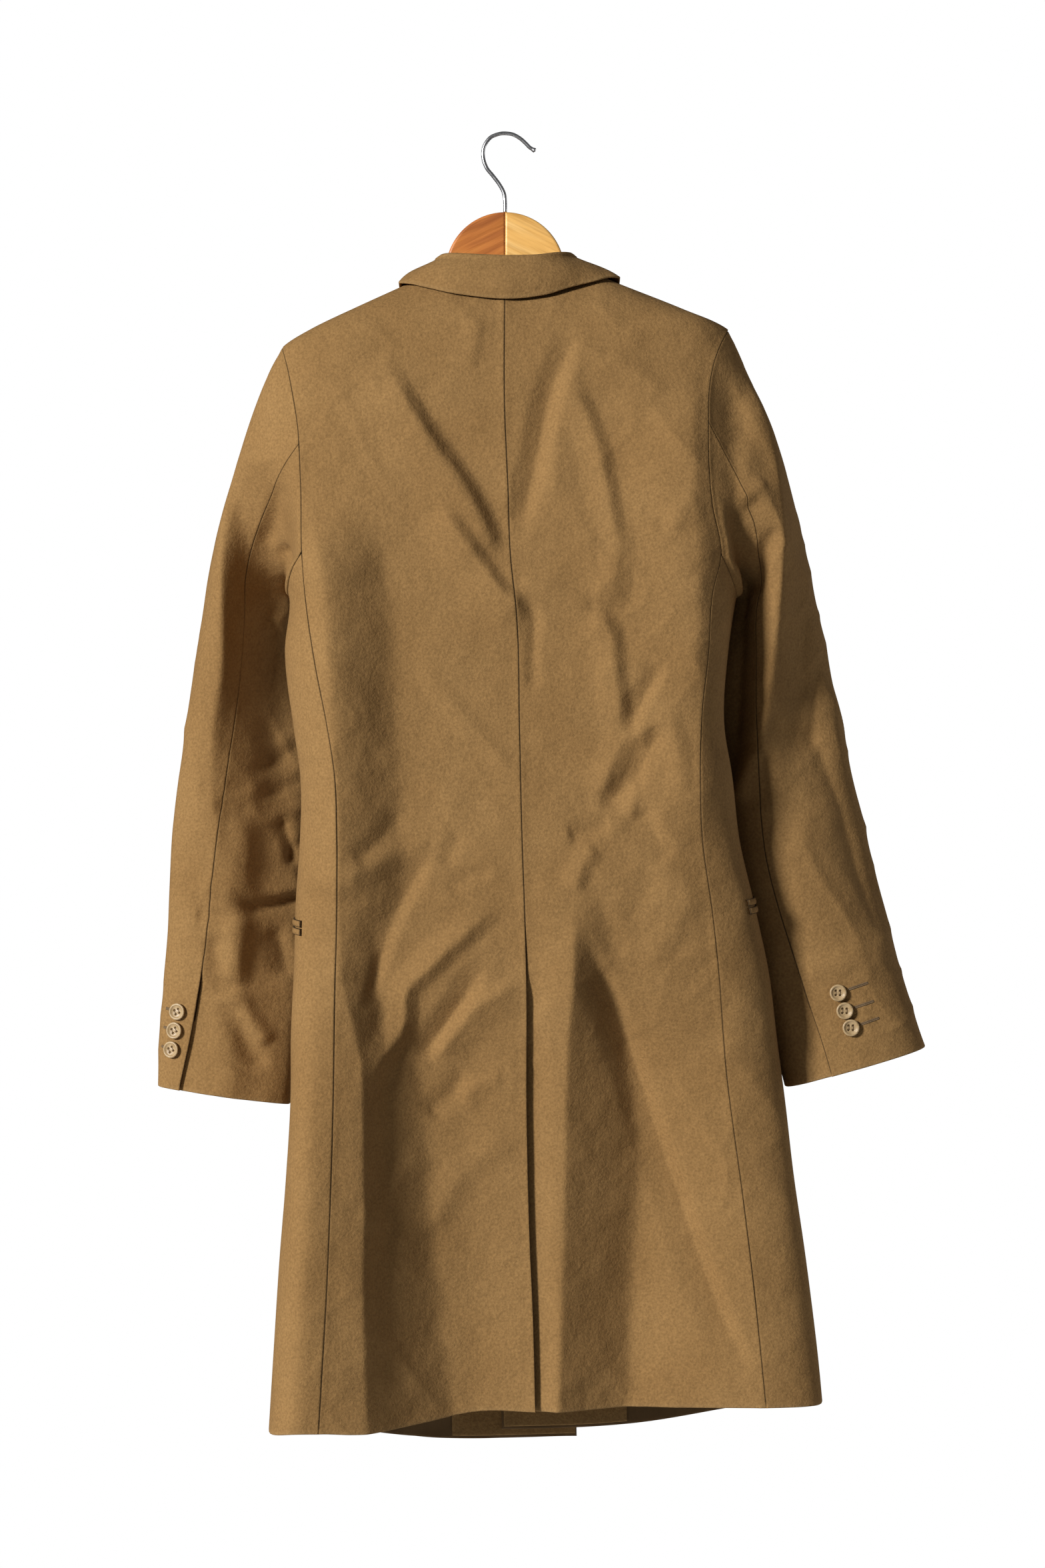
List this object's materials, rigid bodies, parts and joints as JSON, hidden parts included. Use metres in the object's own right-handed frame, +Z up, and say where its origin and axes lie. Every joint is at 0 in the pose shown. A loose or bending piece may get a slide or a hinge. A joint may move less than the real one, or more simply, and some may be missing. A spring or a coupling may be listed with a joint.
{
  "type": "long coat on a hanger",
  "caption": "Long tailored coat with a turn-down collar, centre-back vent, jetted pockets and two-piece sleeves, hung on a flat wooden hanger.",
  "frame": {"origin": "inside top of the hanger's hook, where a rail carries it", "axes": "+Z up, -Y out of the coat's back, +Y out of its buttoned front, -X towards its left sleeve, which is the picture's left"},
  "size_m": [0.6869, 0.2026, 1.1752],
  "materials": {
    "cloth": "short-napped cotton cloth, matte",
    "button": "satin horn-like resin",
    "wood_dark": "varnished reddish wood",
    "wood_light": "varnished pale wood",
    "steel": "bright wire"
  },
  "bodies": {
    "root": {"back_left": "cloth", "back_right": "cloth", "side_left": "cloth", "side_right": "cloth", "front_left": "cloth", "front_right": "cloth", "facing_left": "cloth", "facing_right": "cloth", "lapel_left": "cloth", "lapel_right": "cloth", "collar": "cloth", "sleeve_left_upper": "cloth", "sleeve_left_under": "cloth", "sleeve_right_upper": "cloth", "sleeve_right_under": "cloth", "jet_left_upper": "cloth", "jet_left_lower": "cloth", "jet_right_upper": "cloth", "jet_right_lower": "cloth", "cuff_button_left_1": "button", "cuff_button_left_2": "button", "cuff_button_left_3": "button", "cuff_button_right_1": "button", "cuff_button_right_2": "button", "cuff_button_right_3": "button", "front_button_1": "button", "front_button_2": "button", "front_button_3": "button", "hanger_left": "wood_dark", "hanger_right": "wood_light", "hook": "steel"}
  },
  "joints": []
}
